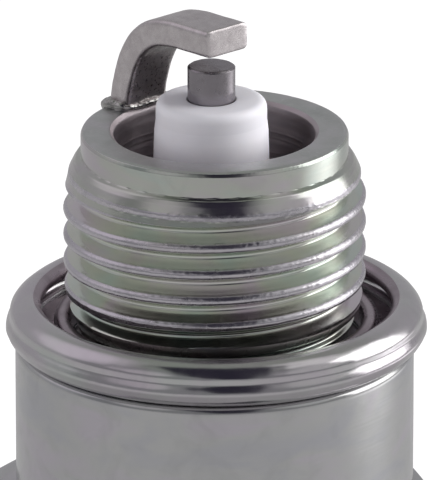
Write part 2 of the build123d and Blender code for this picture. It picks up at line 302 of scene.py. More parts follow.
def turned_metal(name, c1, c2, c3, rough=(0.15, 0.22), turning=0.35, grain=0.05, patch=(150, 150, 420),
                 zmix=None, speckle=0.0, dust=0.10, depth=0.000012):
    """Plated steel: drifting tint, fine turning rings and faint grain."""
    m, nt, bsdf, tc = nodes_of(name)
    obj = mapping(nt, tc, (1, 1, 1))
    tint = tex_noise(nt, mapping(nt, tc, patch), 1.0, 3.0, 0.5, 0.5)
    base = ramp(nt, tint, [(0.32, c1), (0.50, c2), (0.66, c3)])
    if zmix:
        d1, d2, d3, z0, z1 = zmix
        other = ramp(nt, tint, [(0.32, d1), (0.50, d2), (0.66, d3)])
        sep = nt.nodes.new("ShaderNodeSeparateXYZ")
        nt.links.new(obj, sep.inputs[0])
        base = mix(nt, to_range(nt, sep.outputs[2], 0.0, 1.0, z0 * MM, z1 * MM), base, other)
    fine = tex_noise(nt, obj, 5200.0, 3.0, 0.55)
    blot = tex_noise(nt, obj, 620.0, 5.0, 0.62, 0.6)
    base = mix(nt, to_range(nt, blot, 0.0, dust, 0.50, 0.72), base, tuple(v * 0.55 for v in c2))
    if speckle:
        base = mix(nt, to_range(nt, fine, 0.0, speckle, 0.62, 0.74), base, tuple(min(1.0, v * 1.35) for v in c2))
    nt.links.new(base, bsdf.inputs["Base Color"])
    bsdf.inputs["Metallic"].default_value = 1.0
    rings = tex_noise(nt, mapping(nt, tc, (14, 14, 7000)), 1.0, 3.0, 0.55)
    r = add(nt, to_range(nt, blot, rough[0], rough[1], 0.30, 0.72), to_range(nt, rings, -0.015, 0.02, 0.3, 0.7))
    nt.links.new(r, bsdf.inputs["Roughness"])
    h = add(nt, add(nt, rings, turning, "MULTIPLY"), add(nt, fine, grain, "MULTIPLY"))
    bump(nt, bsdf, h, 0.30, depth)
    return m


M = {}
M["shell"] = turned_metal("m_shell_plating", (0.515, 0.52, 0.545), (0.555, 0.56, 0.555), (0.575, 0.55, 0.59), patch=(210, 210, 560), dust=0.16,
                          zmix=((0.50, 0.57, 0.53), (0.56, 0.58, 0.53), (0.58, 0.545, 0.575), -1.5, 0.5))
M["flank"] = turned_metal("m_thread_flank", (0.60, 0.68, 0.63), (0.66, 0.68, 0.61), (0.68, 0.63, 0.67), patch=(230, 230, 620), grain=0.12)
M["crest"] = turned_metal("m_rolled_crest", (0.60, 0.575, 0.62), (0.62, 0.60, 0.64), (0.66, 0.63, 0.66), rough=(0.20, 0.32),
                          turning=0.2, grain=0.9, patch=(420, 420, 900), speckle=0.6, dust=0.35, depth=0.00003)
# painted shade: a darker copy of the gasket plating, standing in for the shade under the threads
M["fold"] = turned_metal("m_gasket_fold", (0.34, 0.29, 0.32), (0.40, 0.34, 0.38), (0.46, 0.40, 0.44), rough=(0.22, 0.36), turning=0.1, grain=0.3, dust=0.3)
M["gasket"] = turned_metal("m_gasket_plating", (0.58, 0.60, 0.585), (0.60, 0.58, 0.60), (0.585, 0.55, 0.59),
                           rough=(0.13, 0.22), turning=0.12, grain=0.05, patch=(260, 260, 620), dust=0.14)


def nickel(name, c_dark, c_light, rough, pits=0.5, scale=1600.0, speck=0.35, depth=0.000014):
    m, nt, bsdf, tc = nodes_of(name)
    obj = mapping(nt, tc, (1, 1, 1))
    g1 = tex_noise(nt, obj, scale, 5.0, 0.62, 0.3)
    g2 = tex_noise(nt, obj, scale * 4.0, 4.0, 0.6)
    base = ramp(nt, g1, [(0.30, c_dark), (0.70, c_light)])
    base = mix(nt, to_range(nt, g2, 0.0, speck, 0.52, 0.8), base, tuple(v * 0.5 for v in c_dark))
    nt.links.new(base, bsdf.inputs["Base Color"])
    bsdf.inputs["Metallic"].default_value = 1.0
    nt.links.new(to_range(nt, g2, rough[0], rough[1], 0.3, 0.75), bsdf.inputs["Roughness"])
    bump(nt, bsdf, add(nt, add(nt, g2, pits, "MULTIPLY"), g1), 0.45, depth)
    return m


M["strap"] = nickel("m_strap_nickel", (0.54, 0.50, 0.51), (0.70, 0.66, 0.665), (0.24, 0.38), 0.3, scale=2000.0, speck=0.20, depth=0.000005)
M["weld"] = nickel("m_weld_metal", (0.34, 0.33, 0.32), (0.60, 0.60, 0.58), (0.10, 0.26), 0.8, scale=2600.0)
M["tip"] = nickel("m_tip_nickel", (0.285, 0.265, 0.285), (0.32, 0.30, 0.32), (0.22, 0.30), 0.3, scale=700.0, speck=0.2)


def ceramic(name):
    """Fine white alumina: matt on the nose, glazed from the crimp to the terminal."""
    m, nt, bsdf, tc = nodes_of(name)
    obj = mapping(nt, tc, (1, 1, 1))
    cloud = tex_noise(nt, obj, 420.0, 4.0, 0.6)
    speck = tex_noise(nt, obj, 4200.0, 3.0, 0.6)
    base = ramp(nt, cloud, [(0.30, (0.86, 0.85, 0.905)), (0.70, (0.905, 0.895, 0.94))])
    base = mix(nt, to_range(nt, speck, 0.0, 0.5, 0.70, 0.86), base, (0.62, 0.60, 0.62))
    nt.links.new(base, bsdf.inputs["Base Color"])
    sep = nt.nodes.new("ShaderNodeSeparateXYZ")
    nt.links.new(obj, sep.inputs[0])
    glaze = to_range(nt, sep.outputs[2], 0.0, 1.0, CRIMP * MM + 0.0002, CRIMP * MM - 0.0004)
    rough = nt.nodes.new("ShaderNodeMix")
    rough.data_type = "FLOAT"
    nt.links.new(glaze, rough.inputs[0])
    nt.links.new(to_range(nt, speck, 0.42, 0.56), rough.inputs[2])
    nt.links.new(to_range(nt, speck, 0.06, 0.12), rough.inputs[3])
    nt.links.new(rough.outputs[0], bsdf.inputs["Roughness"])
    bsdf.inputs["Subsurface Weight"].default_value = 0.18
    bsdf.inputs["Subsurface Radius"].default_value = (0.0012, 0.0011, 0.0010)
    bsdf.inputs["Subsurface Scale"].default_value = 1.0
    bsdf.inputs["IOR"].default_value = 1.6
    bump(nt, bsdf, speck, 0.18, 0.000006)
    return m


M["alumina"] = ceramic("m_alumina")
M["bore"] = turned_metal("m_shell_bore", (0.46, 0.41, 0.43), (0.52, 0.47, 0.49), (0.60, 0.54, 0.56),
                         rough=(0.34, 0.50), turning=0.8, grain=0.3, patch=(300, 300, 2200), depth=0.00002)
M["rim"] = turned_metal("m_shell_rim_face", (0.52, 0.54, 0.53), (0.57, 0.58, 0.575), (0.62, 0.61, 0.63), speckle=0.5,
                        rough=(0.30, 0.46), turning=0.2, grain=1.0, patch=(520, 520, 520), depth=0.00005)
M["terminal"] = turned_metal("m_terminal_plating", (0.60, 0.60, 0.58), (0.66, 0.66, 0.64), (0.64, 0.63, 0.64),
                             turning=0.5, grain=0.06)


def powder(name, c1, c2, rough, metallic=0.0, scale=1800.0, depth=0.00003):
    m, nt, bsdf, tc = nodes_of(name)
    obj = mapping(nt, tc, (1, 1, 1))
    a = tex_noise(nt, obj, scale, 5.0, 0.65)
    nt.links.new(ramp(nt, a, [(0.32, c1), (0.68, c2)]), bsdf.inputs["Base Color"])
    nt.links.new(to_range(nt, a, rough[0], rough[1], 0.3, 0.7), bsdf.inputs["Roughness"])
    bsdf.inputs["Metallic"].default_value = metallic
    bump(nt, bsdf, a, 0.4, depth)
    return m


M["copper"] = powder("m_copper_core", (0.58, 0.30, 0.20), (0.78, 0.45, 0.32), (0.22, 0.36), 1.0, 900.0)
M["seal"] = powder("m_conductive_glass", (0.05, 0.05, 0.055), (0.16, 0.14, 0.13), (0.12, 0.30), 0.0, 2400.0)
M["resistor"] = powder("m_resistor_body", (0.07, 0.065, 0.065), (0.17, 0.16, 0.155), (0.6, 0.8), 0.0, 3000.0)
M["packing"] = powder("m_packing_steel", (0.36, 0.36, 0.36), (0.55, 0.55, 0.54), (0.25, 0.42), 1.0, 1300.0)
M["talc"] = powder("m_talc_powder", (0.70, 0.69, 0.66), (0.84, 0.83, 0.80), (0.75, 0.92), 0.0, 2600.0)

for node, key in (("electrode_core", "copper"), ("front_glass_seal", "seal"), ("rear_glass_seal", "seal"),
                  ("resistor", "resistor"), ("inner_seat_packing", "packing"), ("front_wire_ring", "packing"),
                  ("rear_wire_ring", "packing"), ("talc_fill", "talc")):
    ob = frame["nodes"][node]
    if not ob.material_slots:
        ob.data.materials.append(M[key])
    for s in ob.material_slots:
        s.material = M[key]


def finish_piece(ob, mats, node, body="plug"):
    for m in mats:
        ob.data.materials.append(m)
    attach(ob, body)
    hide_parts(node)
    return ob


# ------------------------------------------------------------------ metal shell
N = 720
TH = [2 * math.pi * k / N for k in range(N)]


def blank_r(d):
    """Radius of the turned blank, d millimetres below the rim."""
    pts = [(0.20, PILOT_R), (1.18, PILOT_R), (1.29, 6.33), (1.50, 6.47), (1.84, 6.635), (1.93, 6.672), (2.08, 6.69), (2.36, 6.75), (3.06, THREAD_R),
           (7.0, THREAD_R), (8.15, THREAD_R - 0.21), (9.70, 6.10), (11, 6.10)]
    if d <= pts[0][0]:
        return pts[0][1]
    for (d0, r0), (d1, r1) in zip(pts, pts[1:]):
        if d <= d1:
            return r0 + (r1 - r0) * (d - d0) / (d1 - d0)
    return pts[-1][1]


# rolled thread section over one pitch: (height above the groove's centre, radius, share of crest roughness)
def thread_rows():
    # rolled form: sharp root, clean flanks, a broad rounded crest that leans a little over the groove
    pts = [(0.0, ROOT_R, 0), (0.07, ROOT_R + 0.010, 0), (0.118, ROOT_R + 0.05, 0), (0.180, 6.32, 0), (0.275, 6.53, 0), (0.355, 6.70, 0),
           (0.388, 6.78, 0.5), (0.415, 6.835, 1), (0.455, 6.880, 1), (0.505, 6.906, 1), (0.57, 6.917, 1), (0.64, 6.910, 1),
           (0.70, 6.885, 1), (0.745, 6.848, 1), (0.785, 6.80, 0.9), (0.815, 6.755, 0.5), (0.834, 6.70, 0), (0.921, 6.55, 0),
           (1.008, 6.40, 0), (1.095, 6.25, 0), (1.135, ROOT_R + 0.035, 0), (1.18, ROOT_R + 0.010, 0), (PITCH, ROOT_R, 0)]
    out = []
    for a, b in zip(pts, pts[1:]):
        n = max(1, int(math.ceil((b[0] - a[0]) / 0.044)))
        for j in range(n):
            u = j / n
            out.append(tuple(a[i] + (b[i] - a[i]) * u for i in range(3)))
    return out


ROWS = thread_rows()
groove0 = RIM - 9.905                      # groove centre at bearing 0
z_low, z_high = RIM - 10.05, RIM - 0.52
first = -2
last = 8
helix, crest_row = [], []
for turn in range(first, last):
    for h, r, w in ROWS:
        helix.append((groove0 + turn * PITCH + h, r, w, turn + (1 if h > PITCH / 2 else 0)))
        crest_row.append(w > 0.4)
M_ROWS = len(ROWS)
helix = [row for row in helix]
verts, faces = [], []
index = []
crest_faces = []
for z0, rp, w, turn in helix:
    line = []
    for k, t in enumerate(TH):
        z = z0 + PITCH * t / (2 * math.pi)
        zc = min(max(z, z_low), z_high)
        d = RIM - zc
        env = blank_r(d)
        # the groove fades out after its last turn
        fade = min(1.0, max(0.0, (turn + t / (2 * math.pi) - 6.05) / 0.35))
        r0 = rp + (7.5 - rp) * fade * fade * (3 - 2 * fade)
        r = min(env, r0)
        cut_by_blank = env < r0 - 0.004
        # crest fold left by rolling, and the torn edge where the blank ends early
        if z_low < z < z_high and r > ROOT_R + 0.35:
            x, y = math.cos(t) * r, math.sin(t) * r
            if cut_by_blank:
                r += 0.003 * n3(x, y, zc, 3.0)
                if 1.80 < d < 2.14:
                    r += 0.010 * fbm(x, y, zc, 4.0, 3)
            elif w > 0:
                r += w * (0.008 * fbm(x, y, zc, 2.6, 3) + 0.006 * n3(x, y, zc * 0.4, 9.0)) - 0.004 * w
                zc += 0.012 * w * n3(x + 9, y, zc, 5.0)
        r = min(r, THREAD_R + 0.02)
        line.append(len(verts))
        verts.append((r * math.cos(t), r * math.sin(t), zc))
    index.append(line)
R_COUNT = len(index)
for i in range(R_COUNT - 1):
    a, b = index[i], index[i + 1]
    for k in range(N):
        if k < N - 1:
            faces.append((a[k], a[k + 1], b[k + 1], b[k]))
        else:
            ia, ib = min(i + M_ROWS, R_COUNT - 1), min(i + 1 + M_ROWS, R_COUNT - 1)
            faces.append((a[k], index[ia][0], index[ib][0], b[k]))


def hex_r(t):
    """Distance from the axis to the hexagon's outline at bearing t, corners slightly rounded."""
    rel = (t - HEX_TURN - math.pi / 6 + math.pi / 6) % (math.pi / 3) - math.pi / 6
    rel_flat = ((t - HEX_TURN) % (math.pi / 3)) - math.pi / 6
    r = HEX_R / math.cos(rel_flat)
    cap = HEX_R / math.cos(math.pi / 6) - 0.03
    return min(r, cap)


def ring_rows(rows, start=None):
    """Adds full rings of (r, z) given by functions of bearing; returns their vertex indices."""
    out = []
    for fn in rows:
        line = []
        for t in TH:
            r, z = fn(t)
            line.append(len(verts))
            verts.append((r * math.cos(t), r * math.sin(t), z))
        out.append(line)
    return out


def bridge(a, b, mat=None):
    for k in range(N):
        k2 = (k + 1) % N
        faces.append((a[k], a[k2], b[k2], b[k]))


def const(r, z, jitter=0.0, s=3.0):
    def fn(t):
        if jitter:
            x, y = r * math.cos(t), r * math.sin(t)
            return r + jitter * fbm(x, y, z, s, 2), z + 0.5 * jitter * n3(x + 5, y, z, s)
        return r, z
    return fn


slope_top = math.tan(math.radians(16))
slope_bot = math.tan(math.radians(28))


def chamfer_top(u, dz=0.0, dr=0.0):
    def fn(t):
        rh = hex_r(t)
        r = COLLAR_R + (rh - COLLAR_R) * u + dr * (1 if u == 1 else 0)
        crown = 0.02 * u * (1 - u)
        return min(r, rh), HEX_TOP - (rh - COLLAR_R) * u * slope_top + dz + crown
    return fn


def flat_row(f):
    def fn(t):
        rh = hex_r(t)
        zt = HEX_TOP - (rh - COLLAR_R) * slope_top - 0.07
        zb = HEX_BOTTOM + max(0.0, rh - 9.30) * slope_bot + 0.06
        return rh, zt + (zb - zt) * f
    return fn


def chamfer_bot(u, dz=0.0):
    def fn(t):
        rh = hex_r(t)
        r = 9.30 + (rh - 9.30) * u
        return min(r, rh), HEX_BOTTOM + (r - 9.30) * slope_bot + dz
    return fn


# lower run: neck, seat face, collar, hexagon, crimped lip, then up the inside
low_fns = [const(6.10, z_low - 0.02)]
neck = rounded([(6.10, z_low - 0.02), (6.10, SEAT, 0.12), (COLLAR_R, SEAT, 0.40), (COLLAR_R, HEX_TOP, 0.10), (9.44, HEX_TOP - 0.08)], 9)
cut_at = max(i for i, p in enumerate(neck) if p[0] <= COLLAR_R + 1e-6)
neck = resample(neck[:cut_at + 1], 0.07)


def collar(z0):
    def fn(t):
        r = COLLAR_R + 0.003 * n3(COLLAR_R * math.cos(t), COLLAR_R * math.sin(t), z0, 0.7)
        return r, z0
    return fn


for r, z in neck[1:]:
    low_fns.append(collar(z) if r > COLLAR_R - 1e-6 else const(r, z))
for u in (0.0, 0.25, 0.5, 0.75, 0.93):
    low_fns.append(chamfer_top(u, 0.0))
low_fns.append(chamfer_top(1.0, 0.0, -0.03))
for f in (0.0, 0.1, 0.25, 0.5, 0.75, 0.9, 1.0):
    low_fns.append(flat_row(f))
low_fns.append(chamfer_bot(1.0, 0.015))
for u in (0.9, 0.5, 0.0):
    low_fns.append(chamfer_bot(u))
crimp_profile = rounded([
    (9.30, HEX_BOTTOM), (7.72, HEX_BOTTOM, 0.25), (7.58, HEX_BOTTOM - 0.80, 0.5), (7.25, HEX_BOTTOM - 1.75, 0.8),
    (6.35, CRIMP + 0.22, 0.8), (5.45, CRIMP + 0.02, 0.4), (5.08, CRIMP + 0.10, 0.14), (5.03, CRIMP + 0.45, 0.1),
    (5.18, CRIMP + 0.80, 0.05), (5.50, CRIMP + 0.86, 0.2), (6.15, CRIMP + 1.20, 0.3), (6.15, -8.00), (5.00, -7.00),
    (5.00, -1.40), (4.00, -0.60), (4.00, 0.60), (4.60, 1.40),
], 5)
for r, z in crimp_profile[1:]:
    low_fns.append(const(r, z))
bore = resample([(4.60, 1.40), (4.60, 3.0)], 0.3)[:-1] + resample([(4.60, 3.0), (4.60, RIM - 0.22)], 0.045)
for j, (r, z) in enumerate(bore[1:]):
    # coarse tool rings in the bore
    d = RIM - z
    ring = 0.004 * math.sin(z * 13.0) + 0.012 * max(0.0, math.sin(z * 4.1 + 1.0)) ** 8 + 0.008 * n3(0.3, 0.7, z, 3.0)
    for dr in (1.38, 1.66, 2.40):
        ring -= 0.016 * max(0.0, 1 - abs(d - dr) / 0.055)
    low_fns.append(const(4.60 - 0.02 + (ring if z > 3.0 else 0), z))
top_fns = [const(r, z) for r, z in rounded([
    (4.60, RIM - 0.24), (4.61, RIM - 0.17, 0.04), (4.77, RIM - 0.01, 0.03), (4.83, RIM, 0.02), (5.3, RIM), (5.86, RIM, 0.08),
    (6.04, RIM - 0.06, 0.06), (PILOT_R, RIM - 0.20, 0.08), (PILOT_R, z_high)], 6)][1:-1]
top_fns = [
    (lambda f: (lambda t: (f(t)[0], f(t)[1] - (0.010 * abs(fbm(f(t)[0] * math.cos(t), f(t)[0] * math.sin(t), 0, 5.0, 3)) if f(t)[0] > 5.84 and f(t)[1] > RIM - 0.3 else 0)
                         + (0.004 * fbm(f(t)[0] * math.cos(t), f(t)[0] * math.sin(t), 0, 1.5, 3) if 4.8 < f(t)[0] <= 5.84 else 0))))(f)
    for f in top_fns]
low_idx = ring_rows(low_fns)
bore_len = len(bore) - 1
prev = index[0]
section_faces = {"outer": len(faces)}
for line in low_idx[:len(low_idx) - bore_len - 0]:
    bridge(line, prev)
    prev = line
section_faces["bore"] = len(faces)
for line in low_idx[len(low_idx) - bore_len:]:
    bridge(line, prev)
    prev = line
top_idx = ring_rows(top_fns)
section_faces["rim"] = len(faces)
for line in top_idx:
    bridge(line, prev)
    prev = line
bridge(index[-1], prev)
shell = make("metal_shell_detailed", verts, faces, 34.0, merge=0.0004)
finish_piece(shell, [M["shell"], M["bore"], M["rim"], M["crest"], M["flank"]], "metal_shell")
for p in shell.data.polygons:
    c = p.center / MM
    rad = math.hypot(c.x, c.y)
    nz = p.normal.z
    nr = (p.normal.x * c.x + p.normal.y * c.y)
    if nz > 0.8 and c.z > RIM - 0.12:
        p.material_index = 2
    elif nr < 0 and rad < 4.9 and c.z > -0.5:
        p.material_index = 1
    elif nr > 0 and RIM - 9.9 < c.z < RIM - 1.3:
        t = math.atan2(c.y, c.x) % (2 * math.pi)
        h = (c.z - groove0 - PITCH * t / (2 * math.pi)) % PITCH
        land = 1.84 < RIM - c.z < 2.10 and rad > 6.6
        if land or (0.395 < h < 0.812 and 6.76 < rad and RIM - c.z > 2.4 and RIM - c.z < 7.6):
            p.material_index = 3
        elif RIM - c.z > 2.4 or (rad < 6.6 and RIM - c.z > 1.9):
            p.material_index = 4

# ------------------------------------------------------------------ crush gasket
def arc(p0, pm, p1, n=8):
    """Points on the circle through three (r, z) points, p0 left out."""
    (ax, ay), (bx, by), (cx, cy) = p0, pm, p1
    d = 2 * (ax * (by - cy) + bx * (cy - ay) + cx * (ay - by))
    if abs(d) < 1e-9:
        return [pm, p1]
    ux = ((ax * ax + ay * ay) * (by - cy) + (bx * bx + by * by) * (cy - ay) + (cx * cx + cy * cy) * (ay - by)) / d
    uy = ((ax * ax + ay * ay) * (cx - bx) + (bx * bx + by * by) * (ax - cx) + (cx * cx + cy * cy) * (bx - ax)) / d
    r = math.hypot(ax - ux, ay - uy)
    a0, am, a1 = (math.atan2(y - uy, x - ux) for x, y in ((ax, ay), (bx, by), (cx, cy)))
    def unwrap(a, ref, sign):
        while sign * (a - ref) < 0:
            a += sign * 2 * math.pi
        return a
    for sign in (1, -1):
        m, e = unwrap(am, a0, sign), unwrap(a1, a0, sign)
        if sign * (e - m) > 0:
            return [(ux + r * math.cos(a0 + (e - a0) * k / n), uy + r * math.sin(a0 + (e - a0) * k / n)) for k in range(1, n + 1)]
    return [pm, p1]


G = GASKET_TOP
g_prof = [(6.86, SEAT + 0.02), (7.8, SEAT + 0.02), (8.75, SEAT + 0.02)]
g_prof += arc((8.75, SEAT + 0.02), (9.39, G - 1.88), (9.65, G - 1.36), 10)
g_prof[-1] = (9.65, G - 1.44)
g_prof += [(9.648, G - 1.36), (9.632, G - 1.27), (9.60, G - 1.18), (9.555, G - 1.09), (9.51, G - 1.02), (9.485, G - 0.96),
           (9.475, G - 0.90), (9.472, G - 0.82), (9.47, G - 0.75), (9.462, G - 0.67), (9.44, G - 0.59)]
g_prof += arc((9.44, G - 0.59), (9.09, G - 0.20), (8.60, G - 0.005), 12)
g_prof += [(8.52, G - 0.0), (8.45, G - 0.004), (8.39, G - 0.02), (8.33, G - 0.05), (8.25, G - 0.09), (8.18, G - 0.14)]
g_prof += arc((8.18, G - 0.14), (8.04, G - 0.32), (8.06, G - 0.60), 6)
g_prof += [(8.10, G - 0.66), (8.50, G - 0.76)]
g_prof += arc((8.50, G - 0.76), (9.14, G - 1.24), (8.56, G - 1.72), 10)
g_prof += [(8.1, G - 1.73), (7.66, G - 1.73), (7.50, G - 1.68), (7.45, G - 1.56), (7.45, G - 1.16)]
g_prof += arc((7.45, G - 1.16), (7.07, G - 0.78), (6.68, G - 1.16), 12)
g_prof += [(6.68, G - 1.5), (6.68, G - 1.92)]
g_prof += arc((6.68, G - 1.92), (6.73, SEAT + 0.07), (6.86, SEAT + 0.02), 4)[:-1]


def gasket_shape(i, r, z, t):
    x, y = r * math.cos(t), r * math.sin(t)
    a = 0.018 * fbm(x, y, z, 0.45, 2)
    if r > 8.4:
        a += 0.007 * n3(x, y, z, 1.7)
    dz = 0.015 * n3(x, y, 3.0, 0.35) if (z > G - 0.75 and r < 9.3) else 0.0
    if z > G - 0.05:
        dz = min(dz, 0.0)
    if z < SEAT + 0.1:
        dz = 0.0
    return r + (a if r > 6.8 else abs(a) * 0.3), z + dz


gasket = lathe("crush_gasket_detailed", g_prof, 480, x0=0.08, closed=True, shape=gasket_shape, angle=40)
finish_piece(gasket, [M["gasket"], M["fold"]], "crush_gasket", "gasket")
# painted shade: faces inside r 8.40 mm above the seat take the darker plating
for p in gasket.data.polygons:
    c = p.center / MM
    if math.hypot(c.x - 0.08, c.y) < 8.40 and c.z > SEAT + 0.1:
        p.material_index = 1

# ------------------------------------------------------------------ insulator
nose = [(1.12, NOSE - 0.05), (1.17, NOSE)]
ins = [(1.12, NOSE - 0.06, 0.0), (1.15, NOSE, 0.03), (2.54, NOSE, 0.78), (2.54, NOSE - 0.95, 0.2), (2.60, RIM, 0.5), (2.66, 6.20, 0.5), (3.00, 3.20, 1.0),
       (3.70, 1.10, 0.4), (3.90, 0.40, 0.3), (3.90, -0.92, 0.1), (4.85, -1.68, 0.1), (4.85, -7.05, 0.2),
       (6.05, -8.15, 0.2), (6.05, HEX_BOTTOM + 3.40, 0.2), (4.75, HEX_BOTTOM + 2.50, 0.2), (4.75, CRIMP - 1.80, 0.15)]
rib = CRIMP - 1.80
for k in range(4):
    z = rib - 2.0 * k
    ins += [(4.46, z - 0.28, 0.25), (4.14, z - 0.75, 0.45), (4.46, z - 1.22, 0.25), (4.75, z - 1.50, 0.15)]
    if k < 3:
        ins.append((4.75, z - 2.0, 0.15))
tail = rib - 7.5
ins += [(4.75, tail - 0.60, 0.25), (4.35, tail - 1.20, 0.25), (4.35, INS_END + 0.55, 0.45), (3.85, INS_END, 0.25),
        (2.05, INS_END, 0.05), (2.00, INS_END + 0.08), (2.00, -2.90), (1.12, -2.02)]
ins_prof = rounded(ins, 8)


def ins_shape(i, r, z, t):
    if z > RIM - 2 and r > 1.3:
        return r + 0.006 * n3(r * math.cos(t), r * math.sin(t), z, 0.8), z
    return r, z


insulator = lathe("insulator_detailed", ins_prof, 256, closed=True, shape=ins_shape, angle=50,
                  axis_x=lambda r, z: NOSE_X * min(1.0, max(0.0, (z - 0.6) / 1.2)) if r > 1.3 or z > 0 else NOSE_X * (z > -2.03))
finish_piece(insulator, [M["alumina"]], "insulator")

# ------------------------------------------------------------------ centre electrode
e = [(0.0, TIP - 0.012), (0.55, TIP - 0.006), (1.00, TIP, 0.05), (1.09, TIP - 0.07, 0.03), (1.09, NOSE + 0.02, 0.0), (1.09, -2.22),
     (1.60, -2.73, 0.05), (1.62, -3.58, 0.05), (1.32, -3.90, 0.03), (0.56, -3.90), (0.56, RIM + 0.50), (0.0, RIM + 0.80)]
e_prof = resample(rounded(e, 5), 0.35)


def tip_shape(i, r, z, t):
    if z > TIP - 0.3:
        x, y = r * math.cos(t), r * math.sin(t)
        return r + (0.008 * fbm(x, y, z, 2.5, 2) if r > 0.8 else 0), z + 0.010 * fbm(x, y, 0, 1.8, 3) - 0.010
    return r, z


tip = lathe("center_electrode_detailed", e_prof, 160, x0=NOSE_X, shape=tip_shape, angle=38)
finish_piece(tip, [M["tip"]], "center_electrode")

# ------------------------------------------------------------------ ground strap
B = math.radians(132.0)
U = Vector((-math.cos(B), -math.sin(B), 0))
W = Vector((-U.y, U.x, 0))
OUTER = [(-5.92, 0.02), (-5.83, 0.70), (-5.68, 1.40), (-5.23, 2.70), (-4.45, 3.87),
         (-3.33, 4.67), (-2.02, 5.00), (-0.60, 5.07), (0.84, 5.13)]
ST_W, ST_T = 2.50, 1.26


def catmull(pts, per=10):
    P = [Vector(p) for p in pts]
    P = [P[0] * 2 - P[1]] + P + [P[-1] * 2 - P[-2]]
    out = []
    for i in range(1, len(P) - 2):
        p0, p1, p2, p3 = P[i - 1], P[i], P[i + 1], P[i + 2]
        for k in range(per):
            t = k / per
            out.append(0.5 * ((2 * p1) + (p2 - p0) * t + (2 * p0 - 5 * p1 + 4 * p2 - p3) * t * t + (3 * p1 - p0 - 3 * p2 + p3) * t ** 3))
    out.append(P[-2])
    return out


line = catmull(OUTER, 9)
mid, tang = [], []
for i, p in enumerate(line):
    a = line[max(0, i - 1)]
    b = line[min(len(line) - 1, i + 1)]
    t = (b - a).normalized()
    nrm = Vector((t.y, -t.x))
    tang.append((t, nrm))
    mid.append(p + nrm * ST_T / 2)


def section(k, n, w, h, rc):
    """Point k of n around a rounded rectangle of half sizes w, h with corner radius rc."""
    per = n // 4
    q, j = divmod(k, per)
    corners = [(w - rc, h - rc, 0), (-(w - rc), h - rc, 90), (-(w - rc), -(h - rc), 180), (w - rc, -(h - rc), 270)]
    cx, cy, a0 = corners[q]
    arc_n = per // 2
    if j < arc_n:
        a = math.radians(a0 + 90 * j / (arc_n - 1))
        return cx + rc * math.cos(a), cy + rc * math.sin(a)
    nx, ny, na = corners[(q + 1) % 4]
    a = math.radians(a0 + 90)
    x0, y0 = cx + rc * math.cos(a), cy + rc * math.sin(a)
    b = math.radians(na)
    x1, y1 = nx + rc * math.cos(b), ny + rc * math.sin(b)
    u = (j - arc_n + 1) / (per - arc_n + 1)
    return x0 + (x1 - x0) * u, y0 + (y1 - y0) * u


NS = 64
sv, sf = [], []
rings = []
stations = [(i, 1.0, 0.0) for i in range(len(mid))]
end_extra = [(len(mid) - 1, s, push) for s, push in ((0.985, 0.045), (0.93, 0.075), (0.80, 0.085), (0.55, 0.088), (0.25, 0.09))]
for i, scale, push in stations + end_extra:
    m0 = mid[i]
    t, nrm = tang[i]
    base = m0 + t * (push - 0.09 * (1 if i == len(mid) - 1 else 0))
    ring = []
    for k in range(NS):
        x, y = section(k, NS, ST_W / 2 * scale, ST_T / 2 * scale, 0.25 * scale)
        s = base.x - nrm.x * y
        z = base.y - nrm.y * y
        P = U * s + W * x + Vector((0, 0, RIM + z))
        g = 0.010 * fbm(P.x, P.y, P.z, 1.6, 3)
        P = P + (U * nrm.x + Vector((0, 0, nrm.y))) * (-g if y > 0 else g) * min(1.0, scale)
        if push > 0:
            P = P + U * 0.012 * fbm(P.x, P.y, P.z, 3.2, 3)
        ring.append(len(sv))
        sv.append(tuple(P))
    rings.append(ring)
for a, b in zip(rings, rings[1:]):
    for k in range(NS):
        sf.append((a[k], a[(k + 1) % NS], b[(k + 1) % NS], b[k]))
for ring in (rings[0], rings[-1]):
    c = Vector((0, 0, 0))
    for v in ring:
        c += Vector(sv[v])
    c /= NS
    ci = len(sv)
    sv.append(tuple(c))
    for k in range(NS):
        sf.append((ring[k], ring[(k + 1) % NS], ci))
strap = make("ground_strap_detailed", sv, sf, 42)
finish_piece(strap, [M["strap"]], "ground_electrode")

